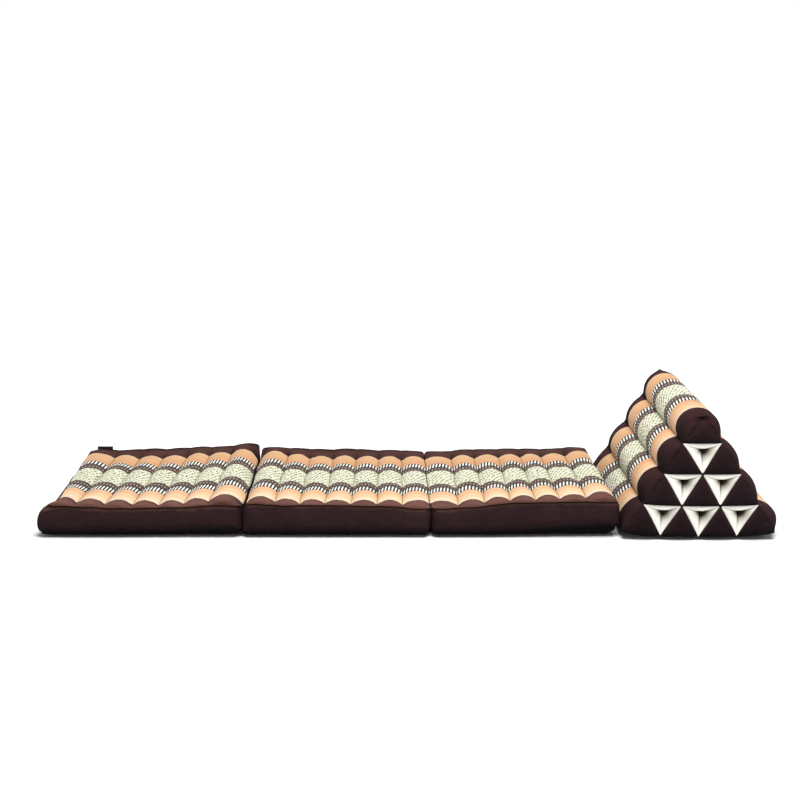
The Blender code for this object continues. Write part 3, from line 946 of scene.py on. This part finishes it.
# How far each tube stands out from its slope, from the crown down, how the lowest one sags at the back,
# and how the rows rise outwards on each side
FRONT_BULGES = np.array([0.0, 0.020, 0.020, 0.011])
BACK_BULGES = np.array([0.0, 0.019, 0.019, 0.027])
BACK_SAG = 1.6
FRONT_RISE = 0.0035
BACK_RISE = 0.0022


# %% The lattice
def row_height(row):
    """Height of a place on the lattice, on straight lines from row to row."""
    return np.interp(row, np.arange(ROWS + 1), ROW_HEIGHTS)


def lattice_points(row, offset, depth):
    """Points of the plain lattice prism, before anything is stuffed."""
    row, offset, depth = (array.astype(float) for array in np.broadcast_arrays(row, offset, depth))
    pull = np.interp(row, np.arange(ROWS + 1), ROW_PULLS) * 0.5 * (1.0 - depth)
    x = BOLSTER_CENTRE_X + BOLSTER_SKEW * depth + offset * CELL_WIDTH + pull
    rise = np.where(offset < 0, FRONT_RISE, BACK_RISE) * (offset * row / ROWS) ** 2
    z = row_height(row) + rise + CROWN_TILT * depth * np.maximum(0.0, 1.0 - row)
    return np.stack([x, depth * BOLSTER_END_Y, z], axis=-1)


def level_of(row):
    """The row of tubes a lattice row belongs to, from 0 at the crown to 3 at the base."""
    return np.clip(np.floor(row + 1e-6).astype(int), 0, ROWS - 1)


def from_end(depth):
    """How far a place along the bolster is from the nearer end, in metres."""
    return BOLSTER_END_Y * (1.0 - np.abs(depth))


def end_fade(depth):
    """0 on an end face and 1 once the tube is full: part of a circle, from END_TURN to a quarter turn."""
    rounding = np.where(depth < 0, NEAR_ROUNDING, FAR_ROUNDING)
    share = np.clip(from_end(depth) / rounding, 0.0, 1.0)
    turn = np.arccos(np.cos(END_TURN) * (1.0 - share))
    return (np.sin(turn) - np.sin(END_TURN)) / (1.0 - np.sin(END_TURN))


# %% The slopes and the crown
def slope_bulge(row, side):
    """How far a slope stands out from the straight line between the corners, as steps in x and z.

    The crown is an arc around a point below the apex, and each tube below it is an arch at right angles
    to the slope. The lowest tube at the back sags, so its arch leans downwards.
    """
    angle = CROWN_HALF_ARC * row
    radius = mix(CROWN_RADIUS, CROWN_BASE_RADIUS, np.clip(row, 0, 1) ** 4)
    crown_x = radius * np.sin(angle) - 0.5 * CELL_WIDTH * row
    crown_z = ROW_HEIGHTS[0] - CROWN_CENTRE_DROP + radius * np.cos(angle) - row_height(row)
    level = level_of(row)
    sag = np.where((level == ROWS - 1) & (side > 0), BACK_SAG, 1.0)
    height = (FRONT_BULGES if side < 0 else BACK_BULGES)[level] * arch((row - level) ** sag)
    slope_length = np.hypot(SLOPE_LEAN, 0.5 * CELL_WIDTH)
    crown = row < 1.0
    step_x = np.where(crown, crown_x, height * SLOPE_LEAN / slope_length)
    step_z = np.where(crown, crown_z, height * 0.5 * CELL_WIDTH / slope_length)
    return side * step_x, step_z


def plump(share, outer):
    """Rise from a cell's edge: a quarter circle, or a gentler parabola where the edge is an outer one."""
    parabola = 1.0 - (1.0 - np.clip(3.0 * share, 0.0, 1.0)) ** 2
    return np.where(outer, mix(RIM_SHARE, 1.0, parabola), quarter_round(3.0 * share))


def cell_dome(level, down, rest, index):
    """How far an upright cell stands out from the end, at a share down it and a share across it."""
    sides = plump(rest, index == 0) * plump(down - rest, index == level)
    return CELL_DOMES[level] * sides * quarter_round(3.0 * (1.0 - down))


def tuck(points):
    """The pinch where the end cloth is gathered under the near apex: 1 along a bow, and 0 far from it.

    It is the product of three bell curves: to the side, up and down from the drooping bow, and along the
    bolster.
    """
    x, y, z = np.moveaxis(points, -1, 0)
    aside = x - BOLSTER_CENTRE_X + TUCK_ASIDE
    bow = TUCK_HEIGHT - TUCK_DROOP * np.abs(aside)
    return ridge(aside, TUCK_WIDTH) * ridge(z - bow, TUCK_RISE) * ridge(y + BOLSTER_END_Y, TUCK_REACH)


def slope_points(row, side, depth):
    """A slope of the bolster: side is -1 above the pads and 1 at the back."""
    row, depth = np.broadcast_arrays(row, depth)
    points = lattice_points(row, 0.5 * side * row, depth)
    step_x, step_z = slope_bulge(row, side)
    fade = end_fade(depth)
    level = level_of(row)
    near_end = smooth_step(1.0 - from_end(depth) / DOME_RUN)
    points[..., 0] += step_x * fade
    points[..., 1] += np.sign(depth) * cell_dome(level, row - level, 0.0, 0) * near_end
    points[..., 2] += step_z * fade
    points[..., 1] += TUCK_DEPTH * tuck(points)
    return points


def base_points(offset, depth):
    """The underside: drawn up at the four edges and flat on the floor within."""
    points = lattice_points(float(ROWS), offset, depth)
    sole_fade = quarter_round((0.5 * ROWS - np.abs(offset)) * CELL_WIDTH / SOLE_ROUNDING)
    groove = SOLE_GROOVE * ridge(from_whole(offset), GROOVE_WIDTH)
    points[..., 2] = mix(points[..., 2], groove, sole_fade * end_fade(depth))
    return points


# %% The end faces
POCKET_DEPTH = 0.040
HOLLOW_MARGIN = 0.005
BOWL_STEEPNESS = 1.6


def end_points(row, offset, end):
    """An end face: plump where a tube ends, and hollow where a pocket is tucked in.

    An upright cell swells away from each edge that it shares. A hanging cell is a bowl a little deeper
    than its pocket: a quarter circle of the distance from its nearest edge.
    """
    points = lattice_points(row, offset, float(end))
    level = level_of(row)
    down = row - level
    side = offset + 0.5 * row
    index = np.clip(np.floor(side + 1e-6).astype(int), 0, level)
    rest = side - index
    upright = rest <= down + 1e-6
    middle = 3.0 * np.clip(np.minimum(np.minimum(down, rest - down), 1.0 - rest), 0.0, 1.0)
    bowl = (POCKET_DEPTH + HOLLOW_MARGIN) * quarter_round(BOWL_STEEPNESS * middle)
    points[..., 1] += end * np.where(upright, cell_dome(level, down, rest, index), -bowl)
    points[..., 1] += TUCK_DEPTH * tuck(points)
    return points


# %% The skin of the bolster
CURVE_STEPS = 18
LENGTH_STEPS = 84
END_LINE_GAP = 0.005
# Painted shade in the folds: the way from valley to valley over a tube, and half widths at the valleys
# and at the rim
TUBE_GIRTH = 85.0 * MM
SLOPE_VALLEY_SHADE = 2.0 * MM
RIM_SHADE, RIM_SHADE_WIDTH = 0.6, 2.5 * MM


def end_stations():
    """Places along the bolster from -1 to 1, evenly around the rounded ends."""
    turn = np.linspace(END_TURN, 0.5 * pi, CURVE_STEPS)
    edge = 1.0 - FAR_ROUNDING * (1.0 - np.cos(turn) / np.cos(END_TURN)) / BOLSTER_END_Y
    return stations(edge, LENGTH_STEPS, BORDER_LINES / BOLSTER_END_Y, END_LINE_GAP)


def build_bolster():
    """Welds the crown and slopes, the underside and two end faces: stripes in slot 0, brown in slot 1."""
    depth, lines = end_stations()
    rows = np.linspace(0.0, ROWS, GRID_STEPS + 1)
    # Painted shade at the valleys between the tubes, around the rims at the ends, and in the tuck
    valley = np.where(rows < 0.5, 0.0, ridge(from_whole(rows) * TUBE_GIRTH, SLOPE_VALLEY_SHADE))
    rim = RIM_SHADE * ridge(from_end(depth), RIM_SHADE_WIDTH)
    patches = []
    for side in (-1.0, 1.0):
        points = slope_points(rows[:, None], side, depth[None, :])
        length = run_length(points[:, len(depth) // 2])
        u = np.broadcast_to(side * length[:, None], points.shape[:2])
        uv = np.stack([u, points[..., 1]], axis=-1)
        fold = np.maximum(np.maximum(valley[:, None], rim), tuck(points))
        patches.extend(bordered(points, uv, fold, lines))

    offset = np.linspace(-0.5 * ROWS, 0.5 * ROWS, GRID_STEPS + 1)
    points = base_points(offset[:, None], depth[None, :])
    patches.append(grid_patch(points, points[..., :2], 1))

    row, place = (index / LATTICE_STEPS for index in np.tril_indices(GRID_STEPS + 1))
    for end in (-1, 1):
        points = end_points(row, place - 0.5 * row, end)
        # Painted shade in the tuck and along the foot of the end face
        fold = np.maximum(tuck(points), ridge(points[:, 2] - ROW_HEIGHTS[-1], BOTTOM_SHADE))
        patches.append(Patch(points, triangle_faces(GRID_STEPS), points[:, [0, 2]], 1, fold))

    piece = sewn("dressed_bolster", patches, [striped_cotton, brown_cotton])
    stuff(piece)
    stand_for(piece, "bolster")


build_bolster()

# %% [markdown]
# ## The pockets
#
# Each pocket is a triangle of white cotton, sewn along its rim between three tubes and pushed in at its
# middle. The tubes behind it are plump, so it turns into three full walls that meet in a crease: a flap
# that hangs from the top edge, and one wall on each side. A side wall starts flat at the rim and turns
# inwards like a quarter of an ellipse. The flap turns under at its lower edge, so the hollow behind it
# is in the dark.
# The hollow and the deep parts of the walls are painted darker as well.

# %% Pocket sizes
# The flap: how far it hangs at its middle, its swell, the depth of its lip, how sharply the hollow under it
# deepens from the sides, and how far back up the cloth turns under
FLAP_DROP = 0.18
FLAP_SWELL = 3.0 * MM
FLAP_LIP_DEPTH = 5.0 * MM
HANG_POWER = 1.7
UNDER_TURN = 0.2
UNDER_STEPS = 4
# Share of a side wall's rim that lies beside the flap, and how quickly its crease gets shallower below
FLAP_RIM = 0.3
CREASE_POWER = 2.0
# The painted shade of the flap, the left and the right wall: how steeply it grows and from which share of
# the depth, and how far it reaches around the hollow under the flap
HOLLOW_SHADE = 1.5
Shade = namedtuple("Shade", "steepness start reach")
POCKET_SHADES = (Shade(6.0, 0.14, 1.0 * MM), Shade(3.0, 0.17, 11.0 * MM), Shade(3.0, 0.0, 20.0 * MM))
# How sharply the left and the right wall turn in: the left one stays full, and the right one falls away
WALL_POWERS = (2.2, 1.15)
POCKET_PROUD = 1.5 * MM
POCKET_THICKNESS = 1.2 * MM
POCKET_INSET = 0.4 * MM
FLAP_HALF_STEPS = 10
CREASE_STEPS = 20
TURN_STEPS = 10


# %% One pocket
def turned_wall(rim, crease, crease_depth, end, power=1.3, swell=0.0):
    """A wall that turns from the rim to the crease.

    It goes across by the sine of its turn, and inwards by a power of one less the cosine.
    """
    turn = 0.5 * pi * np.linspace(0.0, 1.0, TURN_STEPS + 1)[None, :, None]
    points = mix(rim[:, None], crease[:, None], np.sin(turn))
    turn = turn[..., 0]
    inwards = crease_depth * (1.0 - np.cos(turn)) ** power - swell * np.sin(2.0 * turn)
    points[..., 1] = end * (BOLSTER_END_Y + POCKET_PROUD - inwards)
    return points


def pocket_walls(corners, end):
    """The flap and two side walls of a pocket, and the point where the hollow under the flap starts."""
    left, right, tip = (lattice_points(row, offset, float(end)) for row, offset in corners)
    middle = (left + right + tip) / 3.0
    inset = (corner + (middle - corner) * POCKET_INSET / np.linalg.norm(middle - corner)
             for corner in (left, right, tip))
    left, right, tip = inset

    # Across the flap from -1 to 1: its lip hangs in a curve, and from the lip it turns under and goes deep
    c = np.linspace(-1.0, 1.0, 2 * FLAP_HALF_STEPS + 1)[:, None]
    top = mix(left, right, 0.5 + 0.5 * c)
    hang = mix(top, tip, FLAP_DROP * (1.0 - c * c))
    hang_depth = POCKET_DEPTH * (1.0 - np.abs(c) ** HANG_POWER)
    lip_depth = FLAP_LIP_DEPTH * (1.0 - c * c)
    flap = turned_wall(top, hang, lip_depth, end, swell=FLAP_SWELL * (1.0 - c * c))
    back = mix(hang, top, UNDER_TURN)
    back[:, 1] = end * (BOLSTER_END_Y + POCKET_PROUD - hang_depth[:, 0])
    under = mix(flap[:, -1:], back[:, None], np.linspace(0.0, 1.0, UNDER_STEPS + 1)[None, :, None])
    flap = np.concatenate([flap, under[:, 1:]], axis=1)

    # Down the middle, from under the flap to the tip
    m = np.linspace(0.0, 1.0, CREASE_STEPS + 1)[1:, None]
    crease = mix(back[FLAP_HALF_STEPS], tip, m)
    crease_depth = POCKET_DEPTH * (1.0 - m) ** CREASE_POWER
    beside = np.linspace(0.0, FLAP_RIM, FLAP_HALF_STEPS + 1)
    share = np.concatenate([beside, mix(FLAP_RIM, 1.0, m[:, 0])])[:, None]
    walls = [flap]
    halves = (slice(0, FLAP_HALF_STEPS + 1), slice(None, FLAP_HALF_STEPS - 1, -1))
    for corner, half, power in zip((left, right), halves, WALL_POWERS):
        inner = np.concatenate([back[half], crease])
        inner_depth = np.concatenate([hang_depth[half], crease_depth])
        walls.append(turned_wall(mix(corner, tip, share), inner, inner_depth, end, power))
    return walls, hang[FLAP_HALF_STEPS]


def build_pocket(name, corners, end):
    """Welds the three walls of a pocket and gives them the thickness of folded cotton."""
    patches = []
    walls, hollow = pocket_walls(corners, end)
    # Painted shade: darker with depth, and around the hollow under the flap
    for points, shade in zip(walls, POCKET_SHADES):
        share = (BOLSTER_END_Y - np.abs(points[..., 1])) / POCKET_DEPTH
        away = np.hypot(points[..., 0] - hollow[0], points[..., 2] - hollow[2])
        deep = shade.steepness * (share - shade.start)
        fold = np.maximum(deep, HOLLOW_SHADE * ridge(away, shade.reach)).clip(0.0, 1.0)
        patches.append(grid_patch(points, points[..., [0, 2]], 0, fold))
    piece = sewn(name, patches, [natural_cotton], outside=(0.0, end, 0.0))
    area = sum(face.area for face in piece.data.polygons)
    thicken(piece, POCKET_THICKNESS)
    return piece, area


def hanging_cells():
    """The corners of each hanging triangle, from the top of the end face down."""
    for level in range(1, ROWS):
        for index in range(level):
            start = index - 0.5 * level
            yield (level, start), (level, start + 1.0), (level + 1, start + 0.5)


for end, place in ((-1, "near"), (1, "far")):
    for number, corners in enumerate(hanging_cells(), start=1):
        node = f"pocket_{place}_{number}"
        piece, area = build_pocket("dressed_" + node, corners, end)
        stand_for(piece, node)

# %% [markdown]
# ## Seam strips and tab
#
# The pads are joined by narrow strips, low down at both ends of the foldout and high up between the
# middle and the head pad. The tab is a short loop of satin ribbon in the back seam.

# %% Strips
STRIP_THICKNESS = 1.0 * MM
STRIP_WAVE, STRIP_WAVELENGTH = 0.4 * MM, 0.09


def build_strip(node):
    """A strip of cloth between two neighbours, upright and slightly wavy, along the whole join."""
    low, high = (np.array(corner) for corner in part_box(node))
    y = np.linspace(low[1], high[1], 90)[:, None]
    share = np.linspace(0.0, 1.0, 9)[None, :]
    height = mix(low[2], high[2], share) + 0.0 * y
    x = 0.5 * (low[0] + high[0]) + (high[0] - low[0] - STRIP_THICKNESS) * y / (high[1] - low[1])
    x = x + STRIP_WAVE * np.sin(2.0 * pi * y / STRIP_WAVELENGTH) * np.sin(pi * share)
    points = np.stack(np.broadcast_arrays(x, y, height), axis=-1)
    piece = sewn("dressed_" + node, [grid_patch(points, points[..., [2, 1]], 0)], [border_cotton])
    thicken(piece, STRIP_THICKNESS, offset=0.0)
    stand_for(piece, node)


for place in ("foot", "middle", "head"):
    build_strip("hinge_" + place)


# %% Tab
RIBBON_THICKNESS = 0.4 * MM
RIBBON_HALF_GAP = 0.7 * MM
RIBBON_WAVE, RIBBON_WAVELENGTH = 0.5 * MM, 0.035


def build_tab():
    """A loop of ribbon: a flat band that goes up, round and down again, slightly wavy along its width."""
    low, high = (np.array(corner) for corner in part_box("tab"))
    share = np.linspace(0.0, 1.0, 25)[None, :]
    x = np.linspace(low[0], high[0], 30)[:, None]
    turn = pi * share
    y = 0.5 * (low[1] + high[1]) - RIBBON_HALF_GAP * np.cos(turn)
    z = low[2] + (high[2] - low[2]) * np.minimum(1.0, np.sin(turn) ** 0.5)
    wave = RIBBON_WAVE * np.sin(2.0 * pi * (x - low[0]) / RIBBON_WAVELENGTH)
    y = y + wave * (z - low[2]) / (high[2] - low[2])
    points = np.stack(np.broadcast_arrays(x, y, z), axis=-1)
    piece = sewn("dressed_tab", [grid_patch(points, points[..., [0, 2]], 0)], [black_satin])
    thicken(piece, RIBBON_THICKNESS)
    stand_for(piece, "tab")


build_tab()

# %% [markdown]
# ## Floor, light and camera
#
# The mat lies on white paper in a bright room: the walls are white up to shoulder height and the ceiling
# is dim, so one large soft box above does the modelling. The camera stands about three metres away and
# looks slightly down.

# %% Floor
PAPER_REACH = 7.0
# How far from the middle the glow begins and is full, along y; along x it is stretched by the shape of
# the mat
GLOW_START, GLOW_END = 0.42, 1.3
GLOW_STRETCH = (0.35, 1.0, 1.0)


def build_floor():
    """A wide sheet of white paper, which glows far from the mat as an overlit backdrop does."""
    corners = [(x * PAPER_REACH, y * PAPER_REACH, 0.0) for x, y in ((-1, -1), (1, -1), (1, 1), (-1, 1))]
    mesh = bpy.data.meshes.new("floor")
    mesh.from_pydata(corners, [], [(0, 1, 2, 3)])
    paper = bpy.data.materials.new("white_paper")
    paper.use_nodes = True
    tree = paper.node_tree
    shader = tree.nodes["Principled BSDF"]
    shader.inputs["Base Color"].default_value = colour("#f6f7fa")
    shader.inputs["Roughness"].default_value = 0.9
    shader.inputs["Emission Color"].default_value = (1.0, 1.0, 1.0, 1.0)
    place = add(tree, "ShaderNodeTexCoord", out=3)
    drawn = add(tree, STRETCH, {0: place, 3: GLOW_STRETCH})
    reach = add(tree, "ShaderNodeVectorMath", drawn, operation="LENGTH", out=1)
    glow = add(tree, RANGE, reach, GLOW_START, GLOW_END, 0.0, 1.0)
    tree.links.new(glow, shader.inputs["Emission Strength"])
    mesh.materials.append(paper)
    new_object("floor", mesh)


build_floor()


# %% Light
# Heights as the upward part of the direction looked in
WALL_TOP, CEILING_START, CEILING_STRENGTH = 0.10, 0.30, 0.3


def area_light(name, location, target, size, power):
    """A square soft box that points at a target."""
    lamp = bpy.data.lights.new(name, "AREA")
    lamp.size = size
    lamp.energy = power
    thing = new_object(name, lamp)
    thing.location = location
    direction = np.array(target) - np.array(location)
    yaw = np.arctan2(direction[1], direction[0]) - 0.5 * pi
    pitch = np.arctan2(np.hypot(direction[0], direction[1]), -direction[2])
    thing.rotation_euler = (pitch, 0.0, yaw)
    print(name, "of", power, "W and", size, "m")


def build_room():
    """The room as a world colour: white walls up to a height, fading to a dim ceiling."""
    world = bpy.data.worlds.new("room")
    world.use_nodes = True
    tree = world.node_tree
    upward = add(tree, SPLIT, add(tree, "ShaderNodeTexCoord"), out=2)
    strength = add(tree, RANGE, upward, WALL_TOP, CEILING_START, 1.0, CEILING_STRENGTH)
    background = tree.nodes["Background"]
    tree.links.new(strength, background.inputs["Strength"])
    background.inputs["Color"].default_value = (1.0, 1.0, 1.0, 1.0)
    bpy.context.scene.world = world


build_room()
area_light("top_box", location=(0.4, -1.7, 3.9), target=(0.1, 0.0, 0.0), size=2.3, power=238.0)

# %% Camera
CAMERA_PLACE = (-0.062 + CENTRING, -3.321, 0.968)
CAMERA_PITCH = 11.85
FOCAL_PIXELS = 1377.0
PHOTO_PIXELS = 800
SENSOR = 36.0
AXIS_PIXEL = 380.0


def build_camera():
    """The camera: a focal length in pixels becomes a lens in millimetres, and the axis is off the middle."""
    lens = bpy.data.cameras.new("camera")
    lens.sensor_width = SENSOR
    lens.lens = FOCAL_PIXELS / PHOTO_PIXELS * SENSOR
    lens.shift_x = (0.5 * PHOTO_PIXELS - AXIS_PIXEL) / PHOTO_PIXELS
    camera = new_object("camera", lens)
    camera.location = CAMERA_PLACE
    camera.rotation_euler = (radians(90.0 - CAMERA_PITCH), 0.0, 0.0)
    bpy.context.scene.camera = camera
    print(f"lens of {lens.lens:.0f} mm, {CAMERA_PITCH} degrees down")


build_camera()
bpy.context.scene.view_settings.view_transform = "Standard"
